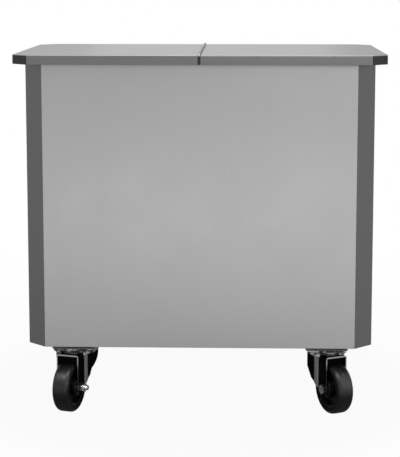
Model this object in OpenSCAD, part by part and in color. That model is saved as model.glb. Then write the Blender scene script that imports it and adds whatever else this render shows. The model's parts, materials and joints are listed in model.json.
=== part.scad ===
// Rolling flour bin
// A sheet steel bin with slanted corners, a two-leaf lift-off lid and four swivel casters.
// Millimetres, +Z up. The origin is on the floor under the middle of the bin, and the front faces -Y.

/* [Body] */
// Outer width from the left panel to the right panel
body_w = 670; // [560:1:900]
// Outer depth from the front panel to the rear panel
body_d = 412; // [360:1:600]
// Height of the walls from their lower edge to the rim
wall_h = 563.5; // [300:0.5:700]
// Thickness of the body's sheet
body_sheet = 1.5; // [1:0.1:2.5]
// Length that each slanted corner takes off the front and off the side
corner_cut = 35; // [25:1:60]
// Width of a corner post's flanges behind the panels
post_flange = 18; // [10:1:30]

/* [Floor and rails] */
// Height of the floor pan above the lower edge of the walls
floor_rise = 23.5; // [20:0.5:60]
// Height of the floor pan's turned-up edge
pan_edge = 25; // [15:1:50]
// How far the base rails reach down below the lower edge of the walls
rail_drop = 10.5; // [4:0.5:20]
// Thickness of a base rail
rail_t = 3; // [2:0.5:5]
// How far a base rail is wider than a caster plate on each side
rail_margin = 3; // [2:0.5:10]

/* [Rim] */
// How far the rim stands out from the walls
rim_out = 18; // [12:1:30]
// Thickness of the rim's sheet
rim_sheet = 1.5; // [1:0.1:2.5]
// Depth of the rim's lip inside the walls
rim_inner_lip = 20; // [10:1:40]

/* [Lid] */
// Thickness of a lid sheet
lid_sheet = 1.5; // [1:0.1:2.5]
// Height of the lid's edge, with its sheet
lid_edge_h = 18; // [14:1:30]
// Thickness of the lid's edge bands
band_t = 1.5; // [1:0.1:3]
// Thickness of a lid corner piece through its slanted face
corner_t = 13; // [8:1:18]
// Length of a corner piece's tongues behind the edge bands
tongue = 12; // [6:1:18]

/* [Lid hinge] */
// Number of knuckles, an odd number so that both end ones are on the left leaf
knuckles = 15; // [9:2:15]
// Radius of a knuckle
knuckle_r = 2.25; // [1.8:0.05:3]
// Radius of the hinge pin
pin_r = 1.1; // [0.8:0.05:1.4]
// Height of the hinge axis above the lid's top
hinge_rise = 0.9; // [0.5:0.1:1.5]
// Thickness of a hinge leaf
leaf_t = 1; // [0.8:0.1:1.5]
// Width of the hinge leaf's flap under the lid sheet
flap_w = 22; // [12:1:40]

/* [Casters] */
// Height of a caster, from the floor to the top of its plate
caster_h = 129; // [124:1:150]
// Distance from a side panel's outer face to a kingpin
caster_in_x = 87; // [85:1:140]
// Distance from the front or rear panel's outer face to a kingpin
caster_in_y = 75; // [70:1:120]
// Width of a caster's top plate
plate_w = 76; // [74:1:100]
// Depth of a caster's top plate
plate_d = 100; // [90:1:120]
// Thickness of a caster's top plate
plate_t = 4; // [3:0.5:6]
// Distance from a plate's edges to its bolts
bolt_inset = 10; // [9:0.5:14]
// Turn of the front left caster from pointing straight ahead
front_left_turn = -17; // [-180:1:180]
// Turn of the front right caster
front_right_turn = 27; // [-180:1:180]
// Turn of the rear left caster
rear_left_turn = -42; // [-180:1:180]
// Turn of the rear right caster
rear_right_turn = 18; // [-180:1:180]

/* [Swivel] */
// Radius of a kingpin
kingpin_r = 6; // [4:0.5:8]
// Radius of a kingpin's lower head
kingpin_head_r = 10; // [9:0.5:12]
// Radius of a swivel ball
ball_r = 3; // [2:0.25:3.5]
// Number of swivel balls in a ring
balls = 20; // [12:1:20]
// Radius of the circle that the balls run on
race_r = 24.5; // [23:0.5:26]
// Outer radius of a fork's race ring
ring_r = 30; // [29.5:0.5:33]

/* [Fork] */
// Distance that the axle trails behind the kingpin
trail = 36; // [30:1:45]
// Gap between a fork's legs
fork_gap = 40; // [39:0.5:50]
// Thickness of a fork's legs
leg_t = 3; // [2.5:0.5:5]
// Thickness of a fork's crown
crown_t = 4; // [3:0.5:6]
// Gap between the wheel and the crown
crown_gap = 10.5; // [6:0.5:11]
// Radius of a leg's lower end round the axle
leg_end_r = 12; // [11:0.5:16]
// How far a leg's front edge lies ahead of the axle
leg_ahead = 8; // [7:0.5:11]
// How far a leg's rear edge lies behind the kingpin
leg_back = 32; // [24:1:36]
// Length of the upright part of a leg's rear edge
leg_straight = 28; // [20:1:36]
// Width of the pressed rib on a leg
rib_w = 22; // [14:1:22]
// Height of the pressed rib on a leg
rib_h = 1.5; // [0.8:0.1:2]

/* [Wheel] */
// How far the top of a wheel lies below the top of its caster's plate
wheel_below = 29; // [28:0.5:40]
// Width of a tyre
tyre_w = 34; // [28:0.5:38]
// Thickness of a tyre
tyre_t = 11; // [9:0.5:15]
// Radius of a tyre's rounded shoulders
shoulder_r = 8; // [3:0.5:9]
// Radius of a wheel's hub
hub_r = 17.5; // [12:0.5:20]
// Thickness of a wheel's web
web_t = 12; // [8:0.5:20]
// Radius of an axle bolt
axle_r = 5; // [4:0.5:6]
// Radius of an axle sleeve
sleeve_r = 7.5; // [7:0.25:9]

/* [Fasteners] */
// Width across the flats of an axle bolt's head and nut
axle_flats = 17; // [15:0.5:18]
// Thickness of an axle bolt's head
axle_head_h = 6.5; // [5:0.5:8]
// Thickness of an axle nut
axle_nut_h = 11.5; // [6:0.5:12]
// Length of an axle bolt's thread beyond its nut
axle_over = 5.5; // [1:0.5:8]
// Radius of a caster bolt
bolt_r = 4; // [3:0.5:5]
// Width across the flats of a caster bolt's head and nut
bolt_flats = 13; // [11:0.5:14]
// Thickness of a caster bolt's head
bolt_head_h = 5; // [4:0.5:7]
// Thickness of a caster nut
bolt_nut_h = 6.5; // [4:0.5:8]

/* [Hidden] */
$fn = 96;
// Play of a turning fit, on the radius
turn_play = 0.05;
// Play between the lid and the rim, sideways
lid_play = 1.5;
// Gap under the resting lid
lid_rest = 0.2;
// Width of the seams between the rim's channels
rim_seam = 0.4;
// Play round the knuckles and between them
knuckle_play = 0.35;
// Gap between a hinge leaf's flap and the rim
flap_play = 3;
// How far the caps in the split stay inside the bands' outer faces and below the lid sheets
cap_in = 0.3;
cap_drop = 1.2;
// How far the end knuckles reach over the flap
end_lap = 6;
// Gap between a post's flanges and the pan or the rim's lip
flange_play = 2;
// Play at the ends of the sleeve and over the kingpin's head
end_play = 0.1;
// Gap between a wheel's hub and the fork's legs
hub_play = 1;
// Gap between a race ring and the lip round it
lip_play = 1.5;
// Wall of the lip round a race ring
lip_t = 2.5;
// How far the lip reaches down over the race ring
lip_lap = 3.5;
// Height of a kingpin's lower head
kingpin_head_h = 4;
// Radius of the bends between a fork's crown and its legs
crown_round = 4;
// How far the bend in a leg's rear edge lies ahead of and below its upright part
belly_in = 16;
belly_drop = 21;
// Place of the pressed rib ahead of the kingpin
rib_ahead = 6;
// Thickness of the wheel core's rim, and how far it stays inside the tyre's sides
core_rim_t = 6;
core_rim_in = 2;
// Play of a bolt in its hole, on the radius
hole_play = 0.5;
// Length of a caster bolt's thread beyond its nut
thread_over = 2;
// Extra length of a cut beyond the face that it leaves
over = 1;

// Slanted corners keep their slope when an outline grows by o
corner_growth = 2 - sqrt(2);

// Heights
wall_foot = caster_h + rail_drop;
wall_top = wall_foot + wall_h;
rim_top = wall_top + rim_sheet;
lid_under = rim_top + lid_rest;
lid_top = lid_under + lid_sheet;
lid_foot = lid_top - lid_edge_h;
hinge_z = lid_top + hinge_rise;
pan_z = wall_foot + floor_rise;
flange_z0 = pan_z + pan_edge + flange_play;
flange_z1 = wall_top - rim_inner_lip - flange_play;

// Body
front_half = body_w / 2 - corner_cut;
side_half = body_d / 2 - corner_cut;

// Lid outline, with corners just thick enough to clear the rim's corners
lid_out = rim_out + lid_play + band_t;
lid_x = body_w / 2 + lid_out;
lid_y = body_d / 2 + lid_out;
body_corner_sum = body_w / 2 + body_d / 2 - corner_cut;
lid_corner_sum = body_corner_sum + sqrt(2) * (rim_out + lid_play + corner_t);
lid_cut = lid_x + lid_y - lid_corner_sum;

// Hinge
split = knuckle_r + knuckle_play;
flap_half = body_d / 2 - body_sheet - rim_sheet - flap_play;
end_knuckle = lid_y - flap_half + end_lap;
inner_knuckle = 2 * (lid_y - end_knuckle) / (knuckles - 2);

// Caster
plate_under = caster_h - plate_t;
ball_z = plate_under - turn_play - ball_r;
ball_show = ball_r / 2;
ring_top = ball_z - ball_show;
ring_wall = ring_r - race_r;
lip_r = ring_r + lip_play;
lip_z = ring_top - lip_lap;
wheel_r = (caster_h - wheel_below) / 2;
crown_z = 2 * wheel_r + crown_gap;
crown_top = crown_z + crown_t;
fork_half = fork_gap / 2 + leg_t;
core_r = wheel_r - tyre_t;
bolt_top = caster_h + rail_t + bolt_nut_h + thread_over;
rail_w = plate_w + 2 * rail_margin;
rail_x = body_w / 2 - caster_in_x;
caster_y = body_d / 2 - caster_in_y;

// Each corner's name, its side in x and in y, and its caster's turn
CORNERS = [
    ["front_left", -1, -1, front_left_turn],
    ["front_right", 1, -1, front_right_turn],
    ["rear_left", -1, 1, rear_left_turn],
    ["rear_right", 1, 1, rear_right_turn]
];
CASTER_PIECES = [
    "top_plate", "kingpin", "swivel_balls", "fork", "axle_bolt", "axle_nut",
    "axle_sleeve", "wheel_core", "tyre"
];

// Outline of a rectangle with slanted corners, from its half sizes and its corner cut
function outline(hx, hy, c) = [
    [hx - c, -hy], [hx, c - hy], [hx, hy - c], [hx - c, hy],
    [c - hx, hy], [-hx, hy - c], [-hx, c - hy], [c - hx, -hy]
];

// The body's outline, grown by o all round
function body_outline(o) = outline(body_w / 2 + o, body_d / 2 + o, corner_cut + o * corner_growth);

// Where the lower edge of a leg, drawn from point p, touches the round end at centre c
function touch_point(p, c, r) =
    let (d = p - c, a = atan2(d.y, d.x) - acos(r / norm(d)))
    c + r * [cos(a), sin(a)];

// Where knuckle i begins along the hinge; the two end knuckles are longer, to reach the flap
function knuckle_start(i) =
    i == 0 ? -lid_y : (i == knuckles ? lid_y : end_knuckle + (i - 1) * inner_knuckle - lid_y);

// A flat shape between two heights
module slab(points, z0, z1) {
    translate([0, 0, z0])
        linear_extrude(z1 - z0)
            polygon(points);
}

// A wall that follows the body's outline, from o_in to o_out
module body_ring(o_out, o_in, z0, z1) {
    difference() {
        slab(body_outline(o_out), z0, z1);
        slab(body_outline(o_in), z0 - over, z1 + over);
    }
}

// Moves a shape that is drawn for the right rear corner to another corner
module in_corner(side_x, side_y) {
    mirror([side_x < 0 ? 1 : 0, 0, 0])
        mirror([0, side_y < 0 ? 1 : 0, 0])
            children();
}

// Moves a caster piece, drawn with its kingpin on the Z axis and its wheel towards -Y, to a corner
module at_caster(c) {
    translate([c[1] * rail_x, c[2] * caster_y, 0])
        rotate([0, 0, c[3]])
            children();
}

// Top plates don't turn with their fork
module at_kingpin(c) {
    translate([c[1] * rail_x, c[2] * caster_y, 0])
        children();
}

// Puts a shape that is drawn round the Z axis on the axle
module on_axle() {
    translate([0, -trail, wheel_r])
        rotate([0, 90, 0])
            children();
}

// A rod or hole along X through the axle
module axle_rod(r, x0, x1) {
    on_axle()
        translate([0, 0, x0])
            cylinder(r = r, h = x1 - x0);
}

// A hexagon from its width across the flats
module hexagon(flats, h) {
    cylinder(r = flats / sqrt(3), h = h, $fn = 6);
}

// Repeats a shape at the four bolts of a caster plate
module at_plate_bolts() {
    for (x = [-1, 1], y = [-1, 1])
        translate([x * (plate_w / 2 - bolt_inset), y * (plate_d / 2 - bolt_inset), 0])
            children();
}

// Body panels
module front_panel() {
    color("silver")
        translate([-front_half, -body_d / 2, wall_foot])
            cube([2 * front_half, body_sheet, wall_h]);
}

module rear_panel() {
    mirror([0, 1, 0])
        front_panel();
}

module right_panel() {
    color("silver")
        translate([body_w / 2 - body_sheet, -side_half, wall_foot])
            cube([body_sheet, 2 * side_half, wall_h]);
}

module left_panel() {
    mirror([1, 0, 0])
        right_panel();
}

// A slanted corner strip with a flange behind each of the two panels that it joins
module corner_post() {
    x = body_w / 2;
    y = body_d / 2;
    inner_sum = body_corner_sum - sqrt(2) * body_sheet;
    strip = [
        [front_half, y], [x, side_half], [x - body_sheet, side_half],
        [x - body_sheet, inner_sum - x + body_sheet],
        [inner_sum - y + body_sheet, y - body_sheet], [front_half, y - body_sheet]
    ];
    lap = 0.8 * body_sheet;
    flange_len = post_flange + lap;
    color("dimgray")
        union() {
            slab(strip, wall_foot, wall_top);
            translate([front_half - post_flange, y - 2 * body_sheet, flange_z0])
                cube([flange_len, body_sheet, flange_z1 - flange_z0]);
            translate([x - 2 * body_sheet, side_half - post_flange, flange_z0])
                cube([body_sheet, flange_len, flange_z1 - flange_z0]);
        }
}

// The raised bottom of the flour space, with its edge turned up inside the walls
module floor_pan() {
    color("silver")
        union() {
            slab(body_outline(-body_sheet), pan_z, pan_z + body_sheet);
            body_ring(-body_sheet, -2 * body_sheet, pan_z, pan_z + pan_edge);
        }
}

// The open seam between two of the rim's channels, at corner i of the outline
function rim_seam_outline(i, inner) =
    let (
        a = body_outline(inner - over)[i],
        b = body_outline(rim_out + over)[i],
        n = [a.y - b.y, b.x - a.x] * rim_seam / 2 / norm(b - a)
    )
    [a + n, b + n, b - n, a - n];

// The folded rim round the mouth: eight channels with a lip inside the walls, on top of the walls and the posts
module rim_frame() {
    inner = -body_sheet - rim_sheet;
    color("silver")
        difference() {
            union() {
                body_ring(rim_out, inner, wall_top, rim_top);
                body_ring(-body_sheet, inner, wall_top - rim_inner_lip, rim_top);
            }
            for (i = [0 : len(body_outline(0)) - 1])
                slab(rim_seam_outline(i, inner), wall_top - rim_inner_lip - over, rim_top + over);
        }
}

// A channel under the floor pan that a front and a rear caster bolt to
module base_rail(side) {
    length = 2 * caster_y + plate_d;
    height = pan_z - caster_h;
    color("gray")
        difference() {
            translate([side * rail_x - rail_w / 2, -length / 2, caster_h])
                cube([rail_w, length, height]);
            translate([side * rail_x - rail_w / 2 + rail_t, -length / 2 - over, caster_h + rail_t])
                cube([rail_w - 2 * rail_t, length + 2 * over, height]);
            for (y = [-1, 1])
                translate([side * rail_x, y * caster_y, caster_h - over])
                    at_plate_bolts()
                        cylinder(r = bolt_r + hole_play, h = rail_t + 2 * over);
        }
}

module caster_bolts() {
    color("lightgray")
        for (c = CORNERS)
            at_kingpin(c)
                at_plate_bolts()
                    translate([0, 0, plate_under - bolt_head_h])
                        union() {
                            hexagon(bolt_flats, bolt_head_h);
                            cylinder(r = bolt_r, h = bolt_top - plate_under + bolt_head_h);
                        }
}

module caster_nuts() {
    color("lightgray")
        for (c = CORNERS)
            at_kingpin(c)
                at_plate_bolts()
                    translate([0, 0, caster_h + rail_t])
                        difference() {
                            hexagon(bolt_flats, bolt_nut_h);
                            translate([0, 0, -over])
                                cylinder(r = bolt_r + turn_play, h = bolt_nut_h + 2 * over);
                        }
}

// A caster's fixed plate, with a lip that shields the balls
module top_plate() {
    color("lightgray")
        difference() {
            union() {
                translate([-plate_w / 2, -plate_d / 2, plate_under])
                    cube([plate_w, plate_d, plate_t]);
                translate([0, 0, lip_z])
                    cylinder(r = lip_r + lip_t, h = plate_under - lip_z);
            }
            translate([0, 0, lip_z - over])
                cylinder(r = lip_r, h = plate_under - lip_z + over);
            translate([0, 0, plate_under - over])
                cylinder(r = kingpin_r + turn_play, h = plate_t + 2 * over);
            translate([0, 0, plate_under - over])
                at_plate_bolts()
                    cylinder(r = bolt_r + hole_play, h = plate_t + 2 * over);
        }
}

// A rivet through the plate and the crown, with its head under the crown
module kingpin() {
    head_top = crown_z - end_play;
    color("lightgray")
        translate([0, 0, head_top - kingpin_head_h])
            union() {
                cylinder(r = kingpin_head_r, h = kingpin_head_h);
                cylinder(r = kingpin_r, h = caster_h - head_top + kingpin_head_h);
            }
}

module swivel_balls() {
    color("gray")
        for (i = [0 : balls - 1])
            rotate([0, 0, i * 360 / balls])
                translate([race_r, 0, ball_z])
                    sphere(r = ball_r);
}

// Side view of a leg, with y as the first coordinate and z as the second
module leg_side() {
    axle = [-trail, wheel_r];
    front = axle.x - leg_ahead;
    foot = axle.y - leg_end_r;
    rear_low = [leg_back, crown_z - leg_straight];
    belly = [leg_back - belly_in, crown_z - leg_straight - belly_drop];
    union() {
        polygon([
            [front, foot], [front, crown_top], [leg_back, crown_top], rear_low, belly,
            touch_point(belly, axle, leg_end_r), axle, [axle.x, foot]
        ]);
        intersection() {
            translate(axle)
                circle(r = leg_end_r);
            translate([axle.x, foot])
                square(2 * leg_end_r);
        }
    }
}

// The side view as a solid from x0 to x1
module leg_block(x0, x1) {
    translate([x0, 0, 0])
        rotate([90, 0, 90])
            linear_extrude(x1 - x0)
                leg_side();
}

// Front view of the crown and both legs, with x first and z second
module fork_front() {
    foot = wheel_r - leg_end_r;
    difference() {
        union() {
            translate([-fork_half, foot])
                square([2 * fork_half, crown_top - crown_round - foot]);
            translate([crown_round - fork_half, foot])
                square([2 * (fork_half - crown_round), crown_top - foot]);
            for (x = [-1, 1])
                translate([x * (fork_half - crown_round), crown_top - crown_round])
                    circle(r = crown_round);
        }
        translate([-fork_gap / 2, foot - over])
            square([fork_gap, crown_z - foot + over]);
    }
}

// The pressed rib on one leg, a shallow round ridge
module leg_rib() {
    curve_r = (rib_w * rib_w / 4 + rib_h * rib_h) / (2 * rib_h);
    intersection() {
        leg_block(fork_half - leg_t / 2, fork_half + rib_h);
        translate([fork_half + rib_h - curve_r, -rib_ahead, 0])
            cylinder(r = curve_r, h = crown_top - crown_round);
    }
}

// Bent sheet fork with its race ring on top
module fork() {
    color("lightgray")
        difference() {
            union() {
                intersection() {
                    leg_block(-fork_half, fork_half);
                    translate([0, leg_back + over, 0])
                        rotate([90, 0, 0])
                            linear_extrude(leg_back + trail + leg_end_r + 2 * over)
                                fork_front();
                }
                for (x = [0, 1])
                    mirror([x, 0, 0])
                        leg_rib();
                translate([0, 0, crown_z])
                    cylinder(r = ring_r, h = ring_top - crown_z);
            }
            translate([0, 0, crown_top])
                cylinder(r = race_r - ring_wall, h = ring_top - crown_top + over);
            translate([0, 0, ball_z])
                rotate_extrude()
                    translate([race_r, 0])
                        circle(r = ball_r + turn_play);
            translate([0, 0, crown_z - over])
                cylinder(r = kingpin_r + turn_play, h = crown_t + 2 * over);
            axle_rod(axle_r + turn_play, -fork_half - over, fork_half + over);
        }
}

module axle_bolt() {
    color("white")
        union() {
            on_axle()
                translate([0, 0, -fork_half - axle_head_h])
                    hexagon(axle_flats, axle_head_h);
            axle_rod(axle_r, -fork_half - axle_head_h, fork_half + axle_nut_h + axle_over);
        }
}

module axle_nut() {
    color("white")
        difference() {
            on_axle()
                translate([0, 0, fork_half])
                    hexagon(axle_flats, axle_nut_h);
            axle_rod(axle_r + turn_play, fork_half - over, fork_half + axle_nut_h + over);
        }
}

// The tube between the legs that the wheel rolls on
module axle_sleeve() {
    half = fork_gap / 2 - end_play;
    color("gray")
        difference() {
            axle_rod(sleeve_r, -half, half);
            axle_rod(axle_r + turn_play, -half - over, half + over);
        }
}

// A square in a wheel's section, from radius r0 to r1 and half as wide as half
module section_band(r0, r1, half) {
    translate([r0, -half])
        square([r1 - r0, 2 * half]);
}

module wheel_core() {
    bore_r = sleeve_r + turn_play;
    color("black")
        on_axle()
            rotate_extrude()
                union() {
                    section_band(bore_r, hub_r, fork_gap / 2 - hub_play);
                    section_band(bore_r, core_r, web_t / 2);
                    section_band(core_r - core_rim_t, core_r, tyre_w / 2 - core_rim_in);
                }
}

module tyre() {
    flat_half = tyre_w / 2 - shoulder_r;
    color("black")
        on_axle()
            rotate_extrude()
                intersection() {
                    section_band(core_r, wheel_r, tyre_w / 2);
                    union() {
                        section_band(core_r, wheel_r, flat_half);
                        section_band(core_r, wheel_r - shoulder_r, tyre_w / 2);
                        for (x = [-1, 1])
                            translate([wheel_r - shoulder_r, x * flat_half])
                                circle(r = shoulder_r);
                    }
                }
}

// Lid pieces are drawn for the right leaf, and mirrored for the left one
module lid_side(side) {
    mirror([side < 0 ? 1 : 0, 0, 0])
        children();
}

module lid_sheet_piece() {
    color("silver")
        slab([
            [split, -lid_y], [lid_x - lid_cut, -lid_y], [lid_x, lid_cut - lid_y],
            [lid_x, lid_y - lid_cut], [lid_x - lid_cut, lid_y], [split, lid_y]
        ], lid_under, lid_top);
}

// Bands under the front, outer and rear edges of a lid sheet
module lid_edges() {
    drop = lid_under - lid_foot;
    color("gray") {
        for (y = [-lid_y, lid_y - band_t])
            translate([split, y, lid_foot])
                cube([lid_x - lid_cut - split, band_t, drop]);
        translate([lid_x - band_t, lid_cut - lid_y, lid_foot])
            cube([band_t, 2 * (lid_y - lid_cut), drop]);
    }
}

// A cap that closes one end of the split between the leaves, on the end of a band
module split_cap() {
    translate([knuckle_play - split, lid_y - band_t, lid_foot])
        cube([2 * split - knuckle_play, band_t - cap_in, lid_under - cap_drop - lid_foot]);
}

// Corner pieces between the bands, with tongues behind them, and the caps that go with one leaf
module lid_corners(with_caps) {
    inner_sum = lid_corner_sum - sqrt(2) * corner_t;
    tongue_x = lid_x - lid_cut - tongue;
    tongue_y = lid_y - lid_cut - tongue;
    section = [
        [lid_x - lid_cut, lid_y], [lid_x, lid_y - lid_cut], [lid_x - band_t, lid_y - lid_cut],
        [lid_x - band_t, tongue_y], [inner_sum - tongue_y, tongue_y],
        [tongue_x, inner_sum - tongue_x], [tongue_x, lid_y - band_t], [lid_x - lid_cut, lid_y - band_t]
    ];
    color("black")
        for (y = [-1, 1])
            in_corner(1, y) {
                slab(section, lid_foot, lid_under);
                if (with_caps)
                    split_cap();
            }
}

// A hinge leaf with every second knuckle, first the one with number first
module hinge_leaf(first) {
    color("silver")
        difference() {
            union() {
                translate([split - leaf_t, -lid_y, lid_under])
                    cube([leaf_t, 2 * lid_y, hinge_z - lid_under]);
                translate([split - leaf_t, -flap_half, lid_under - leaf_t])
                    cube([flap_w, 2 * flap_half, leaf_t]);
                for (i = [first : 2 : knuckles - 1])
                    translate([0, knuckle_start(i), hinge_z])
                        rotate([-90, 0, 0])
                            cylinder(r = knuckle_r, h = knuckle_start(i + 1) - knuckle_start(i));
            }
            for (i = [1 - first : 2 : knuckles - 1])
                translate([-split, knuckle_start(i) - knuckle_play / 2, hinge_z - split])
                    cube([2 * split, knuckle_start(i + 1) - knuckle_start(i) + knuckle_play, 2 * split]);
            translate([0, -lid_y - over, hinge_z])
                rotate([-90, 0, 0])
                    cylinder(r = pin_r + turn_play, h = 2 * (lid_y + over));
        }
}

module hinge_pin() {
    color("lightgray")
        translate([0, -lid_y, hinge_z])
            rotate([-90, 0, 0])
                cylinder(r = pin_r, h = 2 * lid_y);
}

front_panel();
rear_panel();
left_panel();
right_panel();
for (c = CORNERS) {
    in_corner(c[1], c[2]) corner_post();
}
floor_pan();
rim_frame();
base_rail(-1);  // left_base_rail
base_rail(1);  // right_base_rail
caster_bolts();
caster_nuts();
for (c = CORNERS) {
    at_kingpin(c) top_plate();
    at_kingpin(c) kingpin();
    at_caster(c) swivel_balls();
    at_caster(c) fork();
    at_caster(c) axle_bolt();
    at_caster(c) axle_nut();
    at_caster(c) axle_sleeve();
    at_caster(c) wheel_core();
    at_caster(c) tyre();
}
for (s = [["left", -1], ["right", 1]]) {
    lid_side(s[1]) lid_sheet_piece();
    lid_side(s[1]) lid_edges();
    lid_side(s[1]) lid_corners(s[1] < 0);
}
lid_side(-1) hinge_leaf(0);  // left_hinge_leaf
lid_side(1) hinge_leaf(1);  // right_hinge_leaf
hinge_pin();
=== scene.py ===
"""Rolling flour bin: the finish of its sheets, lid and casters, the studio round it and the camera."""

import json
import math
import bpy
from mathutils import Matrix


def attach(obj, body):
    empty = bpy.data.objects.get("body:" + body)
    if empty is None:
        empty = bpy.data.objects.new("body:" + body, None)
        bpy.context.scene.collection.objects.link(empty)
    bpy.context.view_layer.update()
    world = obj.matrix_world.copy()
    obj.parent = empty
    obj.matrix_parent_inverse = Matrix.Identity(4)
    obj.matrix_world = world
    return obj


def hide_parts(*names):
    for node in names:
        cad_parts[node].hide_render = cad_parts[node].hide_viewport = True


bl_info = {
    "name": "Rolling flour bin",
    "version": (1, 0, 0),
    "blender": (4, 5, 0),
    "location": "3D View > Sidebar > Flour bin",
    "description": "Finishes the sheets, lid and casters of a rolling flour bin and lights it",
    "category": "Object",
}

import bmesh
import bpy
from mathutils import Matrix, Vector

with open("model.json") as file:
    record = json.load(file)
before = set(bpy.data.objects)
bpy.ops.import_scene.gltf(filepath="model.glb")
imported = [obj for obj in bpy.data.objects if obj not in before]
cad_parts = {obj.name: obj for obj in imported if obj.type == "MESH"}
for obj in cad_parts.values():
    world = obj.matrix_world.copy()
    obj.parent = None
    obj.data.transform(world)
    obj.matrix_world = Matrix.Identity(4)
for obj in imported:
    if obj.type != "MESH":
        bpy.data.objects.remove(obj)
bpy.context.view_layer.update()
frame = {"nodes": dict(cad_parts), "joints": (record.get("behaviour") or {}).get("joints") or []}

MM = 0.001
CORNERS = ("front_left", "front_right", "rear_left", "rear_right")
LEAVES = ("left", "right")

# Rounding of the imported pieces: points joined first, the least angle that counts as an edge, steps round it
WELD_REACH = 0.01 * MM
SHARP_ANGLE = math.radians(32.0)
PLAIN_STEPS = 2
SOFT_STEPS = 3

# Tyre section: steps round a shoulder, a groove slope as a share of the groove's width,
# and the seam's top and the flat strip beside it in half widths of the seam
SHOULDER_STEPS = 10
GROOVE_SLOPE = 0.25
SEAM_TOP = 0.5
SEAM_STRIP = 2.0

# Relief and roughness of all finishes
NOISE_MIDDLE = 0.5
RELIEF_DEPTH = 0.2 * MM
ROUGHNESS_LIMITS = (0.05, 0.95)
CRYSTALS_PER_METRE = 420.0
CRYSTAL_RELIEF = 0.4

# Hinge: painted shade darkening the strips beside the knuckles, and the length at each end painted with a
# highlight
KNUCKLE_SHADE_BORDER = 0.2 * MM
KNUCKLE_SHADE_TONE = 0.12
KNUCKLE_SHADE_ROUGHER = 0.2
HIGHLIGHT_END = 6.0 * MM
HIGHLIGHT_BORDER = 2.0 * MM

# Forks: where the ribs start outside the legs, how deep the painted highlight on the cut edges reaches in
# from the outside, and how much rougher the ribs' painted sheen and the edge highlight are than the plating
# darkened as a painted reflection
RIB_START = 0.3 * MM
LEG_EDGE = 2.0 * MM
CROWN_EDGE = 2.6 * MM
FORK_BORDER = 0.6 * MM
RIB_SHEEN_ROUGHER = 0.16
EDGE_HIGHLIGHT_ROUGHER = 0.1

# From the shoulder's inner end to where the tread has all its polish
TREAD_BORDER = 3.0 * MM

# Studio: the floor lies a little below the tyres, the sensor is in millimetres,
# and a lamp is given by its name, its place and its sides
WHITE = (1.0, 1.0, 1.0)
FLOOR_CELLS = 8
FLOOR_GAP = 0.5 * MM
SENSOR_WIDTH = 36.0
LEVEL_VIEW = math.radians(90.0)
LAMP_TARGET = Vector((0.0, 0.0, 0.38))
LAMPS = (
    ("key_lamp", (-1.6, -1.6, 2.6), (0.6, 0.6)),
    ("side_lamp", (2.2, -1.3, 1.3), (1.0, 2.2)),
    ("over_lamp", (0.5, -1.25, 2.6), (1.8, 0.5)),
    ("fill_lamp", (0.75, -2.8, 1.5), (0.8, 0.8)),
    ("low_lamp", (0.08, -2.2, 0.08), (1.7, 0.14)),
    ("top_lamp", (0.2, 0.2, 3.0), (2.0, 2.0)),
    ("back_lamp", (-0.3, 2.5, 2.9), (1.8, 1.8)),
    ("lid_lamp", (-0.02, 2.2, 1.05), (0.85, 1.0)),
)


# Property makers

def colour(name, description, default):
    """A colour that a user may change."""
    return bpy.props.FloatVectorProperty(
        name=name, description=description, default=default, subtype="COLOR", size=3, min=0.0, max=1.0)


def share(name, description, default):
    """A number from 0 to 1 that a user may change."""
    return bpy.props.FloatProperty(
        name=name, description=description, default=default, subtype="FACTOR", min=0.0, max=1.0)


def length(name, description, default):
    """A length in metres that a user may change."""
    return bpy.props.FloatProperty(
        name=name, description=description, default=default, unit="LENGTH", precision=4)


def turn(name, description, degrees):
    """An angle that a user may change."""
    return bpy.props.FloatProperty(
        name=name, description=description, default=math.radians(degrees), subtype="ANGLE")


def place(name, description, default):
    """A point in metres that a user may change."""
    return bpy.props.FloatVectorProperty(
        name=name, description=description, default=default, subtype="XYZ", unit="LENGTH", size=3)


def power(name, description, default):
    """A lamp's power in watts that a user may change."""
    return bpy.props.FloatProperty(name=name, description=description, default=default, unit="POWER", min=0.0)


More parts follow.
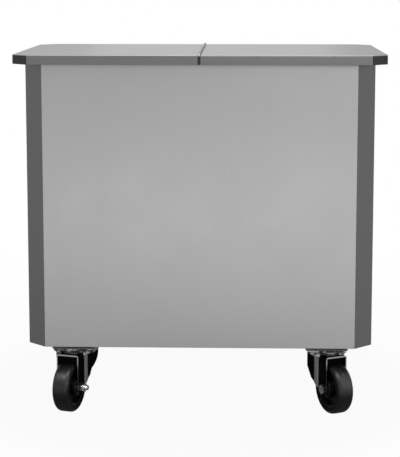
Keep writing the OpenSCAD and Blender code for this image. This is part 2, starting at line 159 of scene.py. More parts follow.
class BinFinish(bpy.types.PropertyGroup):
    """Colours, roughness and gloss of the bin's own pieces."""

    panel_colour: colour("Panels", "Satin sheet of the four walls and the rim", (0.286, 0.286, 0.286))
    # Painted shade: the posts get a darker copy of the wall sheet, for the darker surroundings their slanting
    # faces mirror
    post_painted_shade_colour: colour("Posts", "Darker satin sheet of the corner posts", (0.118, 0.118, 0.119))
    # Painted light: the inside gets a paler copy of the sheet, so that the bin's shaded inside renders bright
    inside_painted_light_colour: colour("Inside", "Floor pan, and inner faces of walls, posts and rim", (0.62, 0.62, 0.622))
    lid_colour: colour("Lid", "Satin sheet of the lid's leaves", (0.345, 0.345, 0.345))
    edge_colour: colour("Lid edges", "Bands along the lid's edges", (0.13, 0.13, 0.13))
    rail_colour: colour("Base rails", "Folded channels under the floor", (0.09, 0.09, 0.091))
    sheet_roughness: share("Sheet roughness", "Roughness of all satin sheet", 0.34)
    slant_tint: share("Slanting gloss", "How bright sheet, hinge and forks stay at a slanting view", 0.45)
    corner_colour: colour("Lid corners", "Moulded corner pieces of the lid", (0.011, 0.011, 0.011))
    corner_roughness: share("Corner roughness", "Roughness of the lid's corner pieces", 0.5)
    corner_gloss: share("Corner gloss", "Specular level of the lid's corner pieces", 0.16)
    hinge_colour: colour("Hinge", "Leaves, knuckles and pin of the hinge", (0.25, 0.25, 0.251))
    # Where it is unshaded: outside the strips of painted shade beside the knuckles
    hinge_roughness: share("Hinge roughness", "Roughness of the hinge where it is clean", 0.4)
    zinc_colour: colour("Caster plating", "Plates, kingpins, bolts and nuts of casters", (0.28, 0.28, 0.28))
    zinc_roughness: share("Caster roughness", "Roughness of the casters' plates, kingpins and bolts", 0.24)
    tarnish_colour: colour("Tarnish", "Dull blotches on the plates, kingpins and bolts", (0.03, 0.03, 0.03))
    # Painted light on the forks: their dark faces stand for mirrored dark surroundings, the lighter ribs for
    # a sheen, and the bright edges, also used at the hinge's ends, for highlights
    fork_colour: colour("Fork plating", "Dark glossy faces of the forks", (0.02, 0.02, 0.0205))
    fork_roughness: share("Fork roughness", "Roughness of the forks' dark faces", 0.2)
    rib_painted_sheen_colour: colour("Fork ribs", "Rubbed tops of the pressed ribs", (0.58, 0.58, 0.58))
    edge_painted_highlight_colour: colour("Cut edges", "Bare fork edges and rubbed ends of the hinge", (0.44, 0.44, 0.443))
    bright_colour: colour("Bright plating", "Axle bolts, nuts and sleeves", (0.72, 0.72, 0.724))
    bright_roughness: share("Bright roughness", "Roughness of the axle bolts, nuts and sleeves", 0.2)
    ball_colour: colour("Balls", "Polished balls of the swivels", (0.62, 0.62, 0.62))
    ball_roughness: share("Ball roughness", "Roughness of the swivels' balls", 0.1)
    core_colour: colour("Wheel cores", "Moulded centres of the wheels", (0.003, 0.003, 0.003))
    core_roughness: share("Core roughness", "Roughness of the wheel cores", 0.3)
    core_gloss: share("Core gloss", "Specular level of the wheel cores", 0.12)
    tyre_colour: colour("Tyres", "Black rubber", (0.004, 0.004, 0.004))
    tyre_roughness: share("Tyre roughness", "Roughness of the tyres' rubber", 0.5)
    rubber_gloss: share("Rubber gloss", "Specular level of the tyres' rubber", 0.04)
    tread_gloss: share("Tread gloss", "How strongly the tread, polished by the floor, shines", 0.55)
    tread_roughness: share("Tread roughness", "Roughness of the tread's polish", 0.34)


class BinEdges(bpy.types.PropertyGroup):
    """How far edges are rounded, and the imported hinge's and forks' sizes that their finishes follow."""

    sheet: length("Sheets", "Rounding of folded sheet edges", 0.5 * MM)
    lid: length("Lid sheets", "Rounding of the lid's sheets", 1.2 * MM)
    band: length("Lid bands", "Rounding of the bands along the lid's edges", 0.6 * MM)
    plate: length("Caster plates", "Rounding of the casters' plates and forks", 0.6 * MM)
    small: length("Small pieces", "Rounding of kingpins, caster bolts, sleeves and the hinge", 0.25 * MM)
    axle: length("Axle ends", "Bevel of the axle bolts' heads and nuts", 0.9 * MM)
    moulded: length("Moulded pieces", "Rounding of plastic corners and wheel cores", 0.8 * MM)
    knuckle: length("Knuckle radius", "From the hinge pin's middle to the outside of a knuckle", 2.25 * MM)
    fork_half: length("Fork half width", "From a kingpin to the flat outside of its fork's legs", 23 * MM)
    crown: length("Fork crown", "From the floor to the top of a fork's crown", 114.5 * MM)


class BinTyre(bpy.types.PropertyGroup):
    """Small forms of the tyres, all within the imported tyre's own section."""

    steps: bpy.props.IntProperty(name="Steps", description="Steps round a tyre", default=120, min=24)
    shoulder: length("Shoulder", "Radius from the tread to the side", 8 * MM)
    seam: length("Seam", "Half width of the mould seam on the tread", 0.5 * MM)
    seam_height: length("Seam height", "How far the seam stands above the tread", 0.2 * MM)
    groove: length("Groove", "Width of the ring groove in each side", 1.2 * MM)
    groove_depth: length("Groove depth", "Depth of the ring groove", 0.6 * MM)
    groove_in: length("Groove place", "From the inner edge of the side to the groove", 1.2 * MM)


class BinStudio(bpy.types.PropertyGroup):
    """Camera, lamps, floor and world."""

    camera: place("Camera", "Where the camera stands", (0.0852, -3.0398, 0.8603))
    yaw: turn("Yaw", "Turn of the camera about the vertical", 1.695)
    pitch: turn("Pitch", "How far the camera looks down", 7.898)
    lens: bpy.props.FloatProperty(
        name="Lens", description="Focal length", default=118.16, unit="CAMERA", min=1.0)
    shift: bpy.props.FloatProperty(
        name="Shift", description="Downward shift of the frame, so that upright edges stay nearly upright",
        default=-0.105)
    floor_half: length("Floor", "Half of the floor's side", 60.0)
    floor_colour: colour("Floor colour", "Plain pale floor", (0.62, 0.62, 0.62))
    floor_shadow: share("Shadow", "How much of the floor's own shading the camera sees", 0.05)
    mirrored_shadow: share("Mirrored shadow", "How much of the floor's own shading a gloss mirrors", 0.9)
    shadow_core: length("Shadow core", "How far from the bin's middle the floor keeps all its shading", 0.9)
    shadow_reach: length("Shadow reach", "Where the floor turns plain white again", 1.75)
    shade_colour: colour("Shaded floor", "Floor under the bin, which the tyres mirror", (0.1, 0.1, 0.1))
    shade_core: length("Shade core", "How far from the bin's middle the floor is shaded", 0.43)
    shade_reach: length("Shade reach", "Where the floor has its plain colour again", 0.62)
    ambient: share("Ambient", "Strength of the world as light", 0.45)
    key_lamp: power("Key lamp", "Soft lamp, front left", 31.0)
    side_lamp: power("Side lamp", "Tall soft lamp far to the right", 17.0)
    over_lamp: power("Overhead lamp", "Long lamp above the front", 42.0)
    fill_lamp: power("Fill lamp", "Soft lamp, front right", 12.5)
    low_lamp: power("Low lamp", "Long low lamp, far in front", 2.5)
    top_lamp: power("Top lamp", "Soft lamp above", 14.0)
    back_lamp: power("Back lamp", "Soft lamp behind", 18.0)
    lid_lamp: power("Lid lamp", "Soft lamp behind, mirrored in the lid", 1.1)


# Shader maths

class Level:
    """A value, colour or vector in a node tree; arithmetic on values adds Math nodes."""

    def __init__(self, mixer, socket):
        self.mixer = mixer
        self.socket = socket

    def __add__(self, other):
        return self.mixer.maths("ADD", self, other)

    def __radd__(self, other):
        return self.mixer.maths("ADD", other, self)

    def __sub__(self, other):
        return self.mixer.maths("SUBTRACT", self, other)

    def __rsub__(self, other):
        return self.mixer.maths("SUBTRACT", other, self)

    def __mul__(self, other):
        return self.mixer.maths("MULTIPLY", self, other)

    def __rmul__(self, other):
        return self.mixer.maths("MULTIPLY", other, self)


class Mixer:
    """Adds nodes to one node tree."""

    def __init__(self, tree):
        self.tree = tree
        tree.nodes.clear()

    def feed(self, socket, value):
        """Links a level to a socket, or sets the socket's own value."""
        if isinstance(value, Level):
            self.tree.links.new(value.socket, socket)
        elif socket.type == "RGBA":
            socket.default_value = (*value[:3], 1.0)
        else:
            socket.default_value = value

    def node(self, kind, settings=None, inputs=None, output=None):
        """Makes a node, sets its settings, then its sockets, and gives one of its outputs."""
        made = self.tree.nodes.new(kind)
        for key, value in (settings or {}).items():
            if key == "stops":
                self.set_stops(made.color_ramp, value)
            else:
                setattr(made, key, value)
        for key, value in (inputs or {}).items():
            self.feed(self.find(made.inputs, key), value)
        if not made.outputs:
            return None
        return Level(self, self.find(made.outputs, output) if output else made.outputs[0])

    @staticmethod
    def find(sockets, key):
        """The socket with that identifier, or else that name."""
        for socket in sockets:
            if socket.identifier == key:
                return socket
        return sockets[key]

    @staticmethod
    def set_stops(ramp, stops):
        """Gives a ramp's two stops their places and grey levels."""
        for element, (at, grey) in zip(ramp.elements, stops):
            element.position = at
            element.color = (grey, grey, grey, 1.0)

    def maths(self, operation, *values):
        """A Math node on one value or two."""
        inputs = dict(zip(("Value", "Value_001"), values))
        return self.node("ShaderNodeMath", {"operation": operation}, inputs)

    def vector(self, operation, *vectors, output="Vector"):
        """A Vector Math node on one vector or two."""
        inputs = dict(zip(("Vector", "Vector_001"), vectors))
        return self.node("ShaderNodeVectorMath", {"operation": operation}, inputs, output)

    def dot(self, first, second):
        """How far one vector reaches along another."""
        return self.vector("DOT_PRODUCT", first, second, output="Value")

    def size(self, vector):
        """The length of a vector."""
        return self.vector("LENGTH", vector, output="Value")

    def part(self, vector, axis):
        """One part of a vector."""
        return self.node("ShaderNodeSeparateXYZ", None, {"Vector": vector}, axis)

    def point(self):
        """The place on the object, in metres."""
        return self.node("ShaderNodeTexCoord", None, None, "Object")

    def facing(self):
        """The direction in which the surface faces."""
        return self.node("ShaderNodeTexCoord", None, None, "Normal")

    def clamp(self, value, low, high):
        """A value kept between two limits."""
        return self.node("ShaderNodeClamp", None, {"Value": value, "Min": low, "Max": high})

    def rising(self, value, low, high):
        """0 below one value, 1 above another, and smooth between them."""
        return self.node("ShaderNodeMapRange", {"interpolation_type": "SMOOTHSTEP"}, {
            "Value": value, "From Min": low, "From Max": high})

    def falling(self, value, low, high):
        """1 below one value, 0 above another, and smooth between them."""
        return 1.0 - self.rising(value, low, high)

    def ramp(self, value, black, white):
        """A value led through a ramp from black at one place to white at another."""
        stops = ((black, 0.0), (white, 1.0))
        return self.node("ShaderNodeValToRGB", {"stops": stops}, {"Fac": value}, "Color")

    def blend(self, factor, first, second):
        """A colour between two others."""
        return self.node(
            "ShaderNodeMix", {"data_type": "RGBA"},
            {"Factor_Float": factor, "A_Color": first, "B_Color": second}, "Result_Color")

    def varied(self, factor, base, darkest, lightest):
        """A colour that runs from a darker tone of it to a lighter one."""
        return self.blend(factor, tone(base, darkest), tone(base, lightest))

    def noise(self, point, per_metre, detail=2.0, roughness=0.5):
        """Soft noise from about 0.25 to 0.75, with so many waves to the metre along each axis."""
        return self.node("ShaderNodeTexNoise", None, {
            "Vector": self.vector("MULTIPLY", point, per_metre), "Scale": 1.0,
            "Detail": detail, "Roughness": roughness}, "Fac")

    def even_noise(self, point, per_metre, detail=2.0, roughness=0.5):
        """Noise that is alike along all axes."""
        return self.noise(point, (per_metre,) * 3, detail, roughness)

    def streaks(self, point, along, lengthwise, across, detail=2.0, roughness=0.5):
        """Noise drawn out along one axis."""
        waves = tuple(lengthwise if axis == along else across for axis in "xyz")
        return self.noise(point, waves, detail, roughness)

    def scratches(self, point, along):
        """Fine scratches of plated metal."""
        return self.streaks(point, along, lengthwise=60.0, across=900.0, detail=3.0, roughness=0.6)

    def clouds(self, point):
        """Cloudy patches of plated metal."""
        return self.even_noise(point, per_metre=45.0)

    def bump(self, height, strength):
        """A normal that follows a fine relief."""
        return self.node("ShaderNodeBump", None, {
            "Strength": strength, "Distance": RELIEF_DEPTH, "Height": height}, "Normal")

    def surface(self, roughness, **inputs):
        """The shader, with its roughness kept within limits, and the material's output."""
        named = {key.replace("_", " ").title().replace("Ior", "IOR"): value for key, value in inputs.items()}
        named["Roughness"] = self.clamp(roughness, *ROUGHNESS_LIMITS)
        shader = self.node("ShaderNodeBsdfPrincipled", None, named)
        self.node("ShaderNodeOutputMaterial", None, {"Surface": shader})


def new_material(name):
    """A material with an empty node tree, and the mixer that fills it."""
    material = bpy.data.materials.new(name)
    material.use_nodes = True
    return material, Mixer(material.node_tree)


def tone(colour_value, factor):
    """A colour made lighter or darker."""
    return tuple(min(1.0, part * factor) for part in colour_value)


def swing(level, amount):
    """A noise's swing about its middle, to be added to another value."""
    return (level - NOISE_MIDDLE) * amount


def weighed(first, second, first_share):
    """Two levels added by their shares."""
    return first * first_share + second * (1.0 - first_share)


# Finishes

def facing_in(mix, point):
    """1 on faces that look towards the upright line through the middle of the bin, 0 on the others."""
    outward = mix.dot(mix.facing(), mix.vector("MULTIPLY", point, (1.0, 1.0, 0.0)))
    return mix.falling(outward, low=-0.1, high=-0.05)


def sheet_steel(name, base, finish, along, inner=None):
    """Satin sheet: fine brush lines along one axis, a cloudy polish, faint smudges and a soft bump, and, if
    asked, inner faces painted paler against the shade inside the bin.
    """
    material, mix = new_material(name)
    point = mix.point()
    lines = mix.streaks(point, along, lengthwise=9.0, across=1300.0, detail=3.0, roughness=0.65)
    broad = mix.streaks(point, along, lengthwise=1.2, across=160.0)
    cloud = mix.even_noise(point, per_metre=2.3, detail=1.0)
    smudge = mix.even_noise(point, per_metre=14.0, detail=4.0, roughness=0.6)
    grain = weighed(lines, broad, first_share=0.8)
    brushed = mix.varied(grain, base, darkest=0.9, lightest=1.1)
    base_colour = mix.blend(mix.ramp(cloud, black=0.35, white=0.65), brushed, tone(base, 1.05))
    # Painted light: faces towards the bin's middle get the paler inside colour
    if inner is not None:
        pale = mix.varied(grain, inner, darkest=0.95, lightest=1.05)
        base_colour = mix.blend(facing_in(mix, point), base_colour, pale)
    mix.surface(
        roughness=finish.sheet_roughness + swing(lines, 0.14) + swing(smudge, 0.12),
        base_color=base_colour, metallic=1.0, specular_tint=(finish.slant_tint,) * 3,
        normal=mix.bump(weighed(lines, broad, first_share=0.7), strength=0.12))
    return material


def plated_steel(name, base, roughness, tarnish=None):
    """Zinc plating: small crystal patches, fine scratches, an uneven gloss and, if asked, dull blotches."""
    material, mix = new_material(name)
    point = mix.point()
    patches = mix.node(
        "ShaderNodeTexVoronoi", {"feature": "F1"},
        {"Vector": point, "Scale": CRYSTALS_PER_METRE, "Randomness": 1.0}, "Color")
    patch = mix.node("ShaderNodeSeparateColor", None, {"Color": patches}, "Red")
    scratch = mix.scratches(point, "z")
    cloud = mix.clouds(point)
    base_colour = mix.varied(weighed(patch, cloud, first_share=0.5), base, darkest=0.82, lightest=1.12)
    if tarnish is not None:
        blotch = mix.noise(point, per_metre=(75.0, 75.0, 130.0), detail=1.0)
        base_colour = mix.blend(mix.ramp(blotch, black=0.42, white=0.58), tarnish, base_colour)
    mix.surface(
        roughness=roughness + swing(scratch, 0.16) + swing(cloud, 0.1),
        base_color=base_colour, metallic=1.0,
        normal=mix.bump(scratch + patch * CRYSTAL_RELIEF, strength=0.08))
    return material


def hinge_plating(name, finish, pin, knuckle, reach):
    """Plating of the long hinge, with painted shade darkening the strips beside its knuckles and a painted
    highlight on both ends.
    """
    material, mix = new_material(name)
    point = mix.point()
    from_pin = mix.vector("SUBTRACT", point, pin)
    radius = mix.size(mix.vector("MULTIPLY", from_pin, (1.0, 0.0, 1.0)))
    # Painted shade: 1 on the strips beside the knuckles, outside their radius, where shade falls
    knuckle_shade = mix.rising(radius, knuckle, knuckle + KNUCKLE_SHADE_BORDER)
    # Painted highlight: the last millimetres at each end of the hinge get the light edge colour
    from_middle = mix.maths("ABSOLUTE", mix.part(from_pin, "Y"))
    highlight_from = reach - HIGHLIGHT_END
    ends = mix.rising(from_middle, highlight_from, highlight_from + HIGHLIGHT_BORDER)
    scratch = mix.scratches(point, "y")
    uneven = weighed(scratch, mix.clouds(point), first_share=0.5)
    unshaded = mix.varied(uneven, finish.hinge_colour, darkest=0.85, lightest=1.15)
    end_highlighted = mix.blend(ends, unshaded, finish.edge_painted_highlight_colour)
    # The strips beside the knuckles get painted shade: the hinge colour darkened, and a rougher surface
    mix.surface(
        roughness=finish.hinge_roughness + knuckle_shade * KNUCKLE_SHADE_ROUGHER + swing(scratch, 0.16),
        base_color=mix.blend(knuckle_shade, end_highlighted, tone(finish.hinge_colour, KNUCKLE_SHADE_TONE)), metallic=1.0,
        specular_tint=(finish.slant_tint,) * 3, normal=mix.bump(scratch, strength=0.06))
    return material


def fork_plating(name, finish, edges, kingpin, axle):
    """Glossy plating on a fork, darkened as a painted dark reflection, with a painted sheen on the ribs of
    its legs and a painted highlight on its cut edges.
    """
    material, mix = new_material(name)
    point = mix.point()
    facing = mix.facing()
    beside = mix.maths("ABSOLUTE", mix.dot(mix.vector("SUBTRACT", point, kingpin), axle))
    rib_from = edges.fork_half + RIB_START
    leg_from = edges.fork_half - LEG_EDGE
    crown_from = edges.crown - CROWN_EDGE
    rib_sheen_mask = mix.rising(beside, rib_from, rib_from + FORK_BORDER)
    on_leg = mix.rising(beside, leg_from, leg_from + FORK_BORDER)
    on_crown = mix.rising(mix.part(point, "Z"), crown_from, crown_from + FORK_BORDER)
    sideways = mix.maths("ABSOLUTE", mix.dot(facing, axle))
    upward = mix.maths("ABSOLUTE", mix.part(facing, "Z"))
    end_face = mix.falling(sideways, low=0.3, high=0.6) * mix.falling(upward, low=0.6, high=0.85)
    edge_highlight_mask = end_face * mix.maths("MAXIMUM", on_leg, on_crown)
    scratch = mix.scratches(point, "z")
    # Painted reflection, sheen and highlight: dark faces, lighter ribs and bright cut edges
    painted_dark_reflection = mix.varied(mix.clouds(point), finish.fork_colour, darkest=0.7, lightest=1.4)
    light = mix.varied(scratch, finish.rib_painted_sheen_colour, darkest=0.8, lightest=1.2)
    painted_edge_highlight = mix.varied(scratch, finish.edge_painted_highlight_colour, darkest=0.6, lightest=1.0)
    mix.surface(
        roughness=finish.fork_roughness + rib_sheen_mask * RIB_SHEEN_ROUGHER + edge_highlight_mask * EDGE_HIGHLIGHT_ROUGHER + swing(scratch, 0.14),
        base_color=mix.blend(edge_highlight_mask, mix.blend(rib_sheen_mask, painted_dark_reflection, light), painted_edge_highlight), metallic=1.0,
        specular_tint=(finish.slant_tint,) * 3, normal=mix.bump(scratch, strength=0.06))
    return material


def moulded_plastic(name, base, roughness, gloss):
    """Moulded plastic: a fine pebbled skin, with rubbed and dusty patches."""
    material, mix = new_material(name)
    point = mix.point()
    pebble = mix.even_noise(point, per_metre=1100.0)
    dust = mix.even_noise(point, per_metre=38.0, detail=4.0, roughness=0.6)
    dusty = mix.ramp(dust, black=0.42, white=0.75)
    mix.surface(
        roughness=roughness + swing(dust, 0.25),
        base_color=mix.varied(dusty, base, darkest=1.0, lightest=2.0),
        specular_ior_level=gloss, normal=mix.bump(pebble, strength=0.2))
    return material


def black_rubber(name, finish, roll, tread_from):
    """Tyre rubber: dull sides with dust rubbed in, and a tread that the floor has polished."""
    material, mix = new_material(name)
    point = mix.point()
    speckle = mix.even_noise(point, per_metre=1500.0, detail=3.0, roughness=0.6)
    dust = mix.even_noise(point, per_metre=55.0, detail=5.0, roughness=0.65)
    dusty = mix.ramp(dust, black=0.45, white=0.8)
    from_hub = mix.vector("SUBTRACT", point, roll["pos_m"])
    radius = mix.size(mix.vector("CROSS_PRODUCT", from_hub, roll["axis"]))
    tread = mix.rising(radius, tread_from, tread_from + TREAD_BORDER)
    mix.surface(
        roughness=finish.tyre_roughness + swing(dust, 0.22) + swing(speckle, 0.1),
        base_color=mix.varied(dusty, finish.tyre_colour, darkest=1.0, lightest=2.4),
        specular_ior_level=finish.rubber_gloss, coat_weight=tread * finish.tread_gloss,
        coat_roughness=finish.tread_roughness, normal=mix.bump(speckle, strength=0.15))
    return material


# Pieces

def packed(name):
    """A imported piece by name."""
    if name not in frame["nodes"]:
        raise RuntimeError("the packed model has no piece named " + name)
    return frame["nodes"][name]


def joint(name):
    """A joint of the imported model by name."""
    for row in frame["joints"]:
        if row["name"] == name:
            return row
    raise RuntimeError("the packed model has no joint named " + name)


def at_corners(*parts):
    """The names of caster or post pieces at all four corners."""
    return tuple(corner + part for corner in CORNERS for part in parts)


def on_leaves(part):
    """The names of a lid piece on both leaves."""
    return tuple(leaf + part for leaf in LEAVES)


def paint(names, material):
    """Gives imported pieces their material."""
    for name in names:
        piece = packed(name)
        if not piece.material_slots:
            piece.data.materials.append(material)
        for slot in piece.material_slots:
            slot.material = material


def round_edges(names, width, steps=PLAIN_STEPS):
    """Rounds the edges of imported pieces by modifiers, with their meshes left as they are."""
    for name in names:
        piece = packed(name)
        weld = piece.modifiers.new("joined_faces", "WELD")
        weld.merge_threshold = WELD_REACH
        bevel = piece.modifiers.new("rounded_edges", "BEVEL")
        bevel.width = width
        bevel.segments = steps
        bevel.limit_method = "ANGLE"
        bevel.angle_limit = SHARP_ANGLE
        shading = piece.modifiers.new("even_shading", "WEIGHTED_NORMAL")
        shading.keep_sharp = False


def set_down(name, data):
    """A new object in the scene."""
    made = bpy.data.objects.new(name, data)
    bpy.context.scene.collection.objects.link(made)
    return made


def tyre_section(tyre, inner, outer, half_width):
    """One tyre's section: flat inside, grooved sides, round shoulders and a seam along the tread."""
    tread = outer - tyre.seam_height
    shoulder = tyre.shoulder
    groove_from = inner + tyre.groove_in
    groove_to = groove_from + tyre.groove
    slope = GROOVE_SLOPE * tyre.groove
    side = [
        (inner, half_width),
        (groove_from, half_width),
        (groove_from + slope, half_width - tyre.groove_depth),
        (groove_to - slope, half_width - tyre.groove_depth),
        (groove_to, half_width),
    ]
    for step in range(SHOULDER_STEPS + 1):
        angle = 0.5 * math.pi * step / SHOULDER_STEPS
        side.append((
            tread - shoulder + shoulder * math.sin(angle),
            half_width - shoulder + shoulder * math.cos(angle)))
    side += [(tread, SEAM_STRIP * tyre.seam), (tread, tyre.seam), (outer, SEAM_TOP * tyre.seam)]
    return side + [(radius, -offset) for radius, offset in reversed(side)]


def turned_ring(name, section, steps, centre, axle):
    """A closed section of (radius, offset) pairs, turned about an axle."""
    side = axle.to_track_quat("Z", "Y").to_matrix().to_4x4()
    where = Matrix.Translation(centre) @ side
    form = bmesh.new()
    rings = []
    for step in range(steps):
        angle = math.tau * step / steps
        rings.append([
            form.verts.new(where @ Vector((radius * math.cos(angle), radius * math.sin(angle), offset)))
            for radius, offset in section])
    for step in range(steps):
        this, following = rings[step], rings[(step + 1) % steps]
        for at in range(len(section)):
            after = (at + 1) % len(section)
            form.faces.new((this[at], following[at], following[after], this[after]))
    bmesh.ops.recalc_face_normals(form, faces=form.faces)
    for face in form.faces:
        face.smooth = True
    mesh = bpy.data.meshes.new(name)
    form.to_mesh(mesh)
    form.free()
    return set_down(name, mesh)


class FLOURBIN_OT_dress_panels(bpy.types.Operator):
    """Satin sheet on the four walls"""

    bl_idname = "flour_bin.dress_panels"
    bl_label = "Wall panels"

    def execute(self, context):
        finish = context.scene.bin_finish
        names = ("front_panel", "rear_panel", "left_panel", "right_panel")
        paint(names, sheet_steel("panel_steel", finish.panel_colour, finish, "z", finish.inside_painted_light_colour))
        round_edges(names, context.scene.bin_edges.sheet)
        return {"FINISHED"}


class FLOURBIN_OT_dress_posts(bpy.types.Operator):
    """Darker satin sheet on the corner posts"""

    bl_idname = "flour_bin.dress_posts"
    bl_label = "Corner posts"

    def execute(self, context):
        finish = context.scene.bin_finish
        names = at_corners("_post")
        # Painted shade: the posts' sheet is a darker copy of the walls' sheet
        paint(names, sheet_steel("post_steel", finish.post_painted_shade_colour, finish, "z", finish.inside_painted_light_colour))
        round_edges(names, context.scene.bin_edges.sheet)
        return {"FINISHED"}


class FLOURBIN_OT_dress_inside(bpy.types.Operator):
    """Sheet of the floor pan and the rim"""

    bl_idname = "flour_bin.dress_inside"
    bl_label = "Floor pan and rim"

    def execute(self, context):
        finish = context.scene.bin_finish
        rim = sheet_steel("rim_steel", finish.panel_colour, finish, "x", finish.inside_painted_light_colour)
        # The floor pan has the paler inside colour: painted light against the shade inside the bin
        paint(("floor_pan",), sheet_steel("inside_steel", finish.inside_painted_light_colour, finish, "x"))
        paint(("rim_frame",), rim)
        round_edges(("floor_pan", "rim_frame"), context.scene.bin_edges.sheet)
        return {"FINISHED"}


class FLOURBIN_OT_dress_rails(bpy.types.Operator):
    """Folded sheet of the base rails"""

    bl_idname = "flour_bin.dress_rails"
    bl_label = "Base rails"

    def execute(self, context):
        finish = context.scene.bin_finish
        names = ("left_base_rail", "right_base_rail")
        paint(names, sheet_steel("rail_steel", finish.rail_colour, finish, "y"))
        round_edges(names, context.scene.bin_edges.sheet)
        return {"FINISHED"}


class FLOURBIN_OT_dress_lid(bpy.types.Operator):
    """Sheets, edge bands and corner pieces of both leaves"""

    bl_idname = "flour_bin.dress_lid"
    bl_label = "Lid leaves"

    def execute(self, context):
        finish = context.scene.bin_finish
        edges = context.scene.bin_edges
        sheets = on_leaves("_lid_sheet")
        bands = on_leaves("_lid_edges")
        corners = on_leaves("_lid_corners")
        black = moulded_plastic(
            "corner_plastic", finish.corner_colour, finish.corner_roughness, finish.corner_gloss)
        paint(sheets, sheet_steel("lid_steel", finish.lid_colour, finish, "y"))
        paint(bands, sheet_steel("edge_steel", finish.edge_colour, finish, "x"))
        paint(corners, black)
        round_edges(sheets, edges.lid, SOFT_STEPS)
        round_edges(bands, edges.band)
        round_edges(corners, edges.moulded, SOFT_STEPS)
        return {"FINISHED"}


class FLOURBIN_OT_dress_hinge(bpy.types.Operator):
    """Leaves, knuckles and pin of the long hinge"""

    bl_idname = "flour_bin.dress_hinge"
    bl_label = "Lid hinge"

    def execute(self, context):
        edges = context.scene.bin_edges
        names = ("left_hinge_leaf", "right_hinge_leaf", "hinge_pin")
        pin = joint("lid_fold")["pos_m"]
        reach = max(vertex.co.y for vertex in packed("left_hinge_leaf").data.vertices)
        paint(names, hinge_plating("hinge_steel", context.scene.bin_finish, pin, edges.knuckle, reach))
        round_edges(names, edges.small)
        return {"FINISHED"}


class FLOURBIN_OT_dress_casters(bpy.types.Operator):
    """Plating of the casters' plates, kingpins, forks and bolts, and the polished balls"""

    bl_idname = "flour_bin.dress_casters"
    bl_label = "Caster plates and forks"

    def execute(self, context):
        finish = context.scene.bin_finish
        edges = context.scene.bin_edges
        zinc = plated_steel("zinc_plating", finish.zinc_colour, finish.zinc_roughness, finish.tarnish_colour)
        polished = plated_steel("ball_steel", finish.ball_colour, finish.ball_roughness)
        plates = at_corners("_top_plate")
        pins = at_corners("_kingpin") + ("caster_bolts", "caster_nuts")
        paint(plates + pins, zinc)
        paint(at_corners("_swivel_balls"), polished)
        round_edges(plates, edges.plate)
        round_edges(pins, edges.small)
        for corner in CORNERS:
            kingpin = joint(corner + "_swivel_turn")["pos_m"]
            axle = joint(corner + "_wheel_roll")["axis"]
            paint((corner + "_fork",), fork_plating(corner + "_plating", finish, edges, kingpin, axle))
            round_edges((corner + "_fork",), edges.plate)
        return {"FINISHED"}


class FLOURBIN_OT_dress_axles(bpy.types.Operator):
    """Bright plating of the axle bolts, nuts and sleeves"""

    bl_idname = "flour_bin.dress_axles"
    bl_label = "Axles"

    def execute(self, context):
        finish = context.scene.bin_finish
        edges = context.scene.bin_edges
        ends = at_corners("_axle_bolt", "_axle_nut")
        sleeves = at_corners("_axle_sleeve")
        paint(ends + sleeves, plated_steel("bright_plating", finish.bright_colour, finish.bright_roughness))
        round_edges(ends, edges.axle)
        round_edges(sleeves, edges.small)
        return {"FINISHED"}


class FLOURBIN_OT_dress_cores(bpy.types.Operator):
    """Moulded centres of the wheels"""

    bl_idname = "flour_bin.dress_cores"
    bl_label = "Wheel cores"

    def execute(self, context):
        finish = context.scene.bin_finish
        names = at_corners("_wheel_core")
        paint(names, moulded_plastic(
            "core_plastic", finish.core_colour, finish.core_roughness, finish.core_gloss))
        round_edges(names, context.scene.bin_edges.moulded, SOFT_STEPS)
        return {"FINISHED"}


class FLOURBIN_OT_make_tyres(bpy.types.Operator):
    """Tyres with a mould seam on the tread and a ring groove in each side"""

    bl_idname = "flour_bin.make_tyres"
    bl_label = "Tyres"

    def execute(self, context):
        tyre = context.scene.bin_tyre
        finish = context.scene.bin_finish
        for corner in CORNERS:
            roll = joint(corner + "_wheel_roll")
            centre = Vector(roll["pos_m"])
            axle = Vector(roll["axis"]).normalized()
            points = [vertex.co - centre for vertex in packed(corner + "_tyre").data.vertices]
            offsets = [point.dot(axle) for point in points]
            radii = [(point - axle * offset).length for point, offset in zip(points, offsets)]
            section = tyre_section(tyre, min(radii), max(radii), max(offsets))
            piece = turned_ring(corner + "_tyre_rubber", section, tyre.steps, centre, axle)
            tread_from = max(radii) - tyre.shoulder
            piece.data.materials.append(black_rubber(corner + "_rubber", finish, roll, tread_from))
            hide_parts(corner + "_tyre")
            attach(piece, corner + "_wheel")
        return {"FINISHED"}


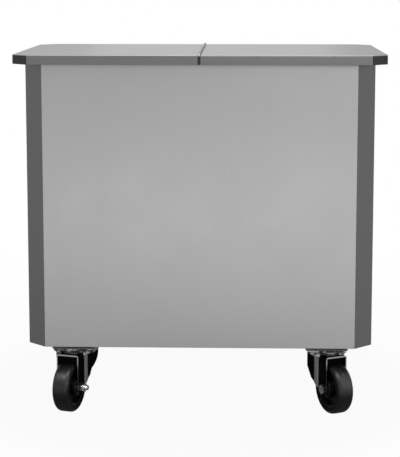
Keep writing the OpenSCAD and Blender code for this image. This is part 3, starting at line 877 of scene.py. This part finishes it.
class FLOURBIN_OT_set_stage(bpy.types.Operator):
    """Pale floor, soft lamps, white world and the camera"""

    bl_idname = "flour_bin.set_stage"
    bl_label = "Studio"

    def execute(self, context):
        studio = context.scene.bin_studio
        self.lay_floor(studio)
        self.set_world(context.scene, studio)
        for name, where, sides in LAMPS:
            self.hang_lamp(name, getattr(studio, name), where, sides)
        self.set_camera(context.scene, studio)
        context.scene.view_settings.view_transform = "Standard"
        return {"FINISHED"}

    def rays(self, mix):
        """The rays that see the white background: from the camera, mirrored, and let through."""
        return [
            mix.node("ShaderNodeLightPath", None, None, name)
            for name in ("Is Camera Ray", "Is Glossy Ray", "Is Transmission Ray")]

    def lay_floor(self, studio):
        """A wide flat floor that stays white and keeps the bin's shadow."""
        form = bmesh.new()
        bmesh.ops.create_grid(form, x_segments=FLOOR_CELLS, y_segments=FLOOR_CELLS, size=studio.floor_half)
        mesh = bpy.data.meshes.new("studio_floor")
        form.to_mesh(mesh)
        form.free()
        floor = set_down("studio_floor", mesh)
        floor.location.z = -FLOOR_GAP
        mesh.materials.append(self.floor_paint(studio))

    def floor_paint(self, studio):
        """Pale paint, shaded under the bin, with the white background laid over most of its shadow."""
        material, mix = new_material("floor_paint")
        point = mix.point()
        away = mix.size(point)
        cloud = mix.even_noise(point, per_metre=1.5)
        pale = mix.varied(cloud, studio.floor_colour, darkest=0.99, lightest=1.0)
        clear = mix.rising(away, studio.shade_core, studio.shade_reach)
        near = mix.falling(away, studio.shadow_core, studio.shadow_reach)
        own = mix.node("ShaderNodeBsdfDiffuse", None, {"Color": mix.blend(clear, studio.shade_colour, pale)})
        white = mix.node("ShaderNodeEmission", None, {"Color": WHITE, "Strength": 1.0})
        camera, glossy, through = self.rays(mix)
        mirrored = mix.clamp(glossy + through, 0.0, 1.0)
        seen_white = camera * (1.0 - near * studio.floor_shadow)
        mirrored_white = mirrored * (1.0 - near * studio.mirrored_shadow)
        shade = mix.node("ShaderNodeMixShader", None, {
            "Fac": seen_white + mirrored_white, "Shader": own, "Shader_001": white})
        mix.node("ShaderNodeOutputMaterial", None, {"Surface": shade})
        return material

    def set_world(self, scene, studio):
        """White to the camera and in the metal, and softer as light."""
        scene.world = bpy.data.worlds.new("studio_world")
        scene.world.use_nodes = True
        mix = Mixer(scene.world.node_tree)
        camera, glossy, through = self.rays(mix)
        seen = mix.clamp(camera + glossy + through, 0.0, 1.0)
        strength = studio.ambient + seen * (1.0 - studio.ambient)
        sky = mix.node("ShaderNodeBackground", None, {"Color": WHITE, "Strength": strength})
        mix.node("ShaderNodeOutputWorld", None, {"Surface": sky})

    def hang_lamp(self, name, watts, where, sides):
        """A soft area lamp that faces the bin."""
        lamp = bpy.data.lights.new(name, "AREA")
        lamp.shape = "RECTANGLE"
        lamp.energy = watts
        lamp.size, lamp.size_y = sides
        holder = set_down(name, lamp)
        holder.visible_camera = False
        holder.location = where
        holder.rotation_euler = (LAMP_TARGET - Vector(where)).to_track_quat("-Z", "Y").to_euler()

    def set_camera(self, scene, studio):
        """A camera in front of the bin, a little above its lid."""
        camera = bpy.data.cameras.new("camera")
        camera.lens = studio.lens
        camera.sensor_width = SENSOR_WIDTH
        camera.shift_y = studio.shift
        holder = set_down("camera", camera)
        holder.location = studio.camera
        holder.rotation_euler = (LEVEL_VIEW - studio.pitch, 0.0, studio.yaw)
        scene.camera = holder


class FLOURBIN_PT_pieces(bpy.types.Panel):
    """Lists the bin's sizes and colours, its pieces and the studio"""

    bl_idname = "FLOURBIN_PT_pieces"
    bl_label = "Flour bin"
    bl_space_type = "VIEW_3D"
    bl_region_type = "UI"
    bl_category = "Flour bin"

    def draw(self, context):
        for key in GROUPS:
            group = getattr(context.scene, key)
            box = self.layout.box()
            for entry in group.__annotations__:
                box.prop(group, entry)
        for operator in OPERATORS:
            self.layout.operator(operator.bl_idname)


GROUPS = {
    "bin_finish": BinFinish,
    "bin_edges": BinEdges,
    "bin_tyre": BinTyre,
    "bin_studio": BinStudio,
}
OPERATORS = (
    FLOURBIN_OT_dress_panels,
    FLOURBIN_OT_dress_posts,
    FLOURBIN_OT_dress_inside,
    FLOURBIN_OT_dress_rails,
    FLOURBIN_OT_dress_lid,
    FLOURBIN_OT_dress_hinge,
    FLOURBIN_OT_dress_casters,
    FLOURBIN_OT_dress_axles,
    FLOURBIN_OT_dress_cores,
    FLOURBIN_OT_make_tyres,
    FLOURBIN_OT_set_stage,
)


def register():
    """Registers the property groups, the operators and the panel."""
    for key, group in GROUPS.items():
        bpy.utils.register_class(group)
        setattr(bpy.types.Scene, key, bpy.props.PointerProperty(type=group))
    for operator in OPERATORS:
        bpy.utils.register_class(operator)
    bpy.utils.register_class(FLOURBIN_PT_pieces)


def unregister():
    """Takes the panel, the operators and the property groups away again."""
    bpy.utils.unregister_class(FLOURBIN_PT_pieces)
    for operator in reversed(OPERATORS):
        bpy.utils.unregister_class(operator)
    for key, group in reversed(GROUPS.items()):
        delattr(bpy.types.Scene, key)
        bpy.utils.unregister_class(group)


def main():
    """Makes every piece and the studio."""
    register()
    bpy.ops.flour_bin.dress_panels()
    bpy.ops.flour_bin.dress_posts()
    bpy.ops.flour_bin.dress_inside()
    bpy.ops.flour_bin.dress_rails()
    bpy.ops.flour_bin.dress_lid()
    bpy.ops.flour_bin.dress_hinge()
    bpy.ops.flour_bin.dress_casters()
    bpy.ops.flour_bin.dress_axles()
    bpy.ops.flour_bin.dress_cores()
    bpy.ops.flour_bin.make_tyres()
    bpy.ops.flour_bin.set_stage()


if __name__ == "__main__":
    main()
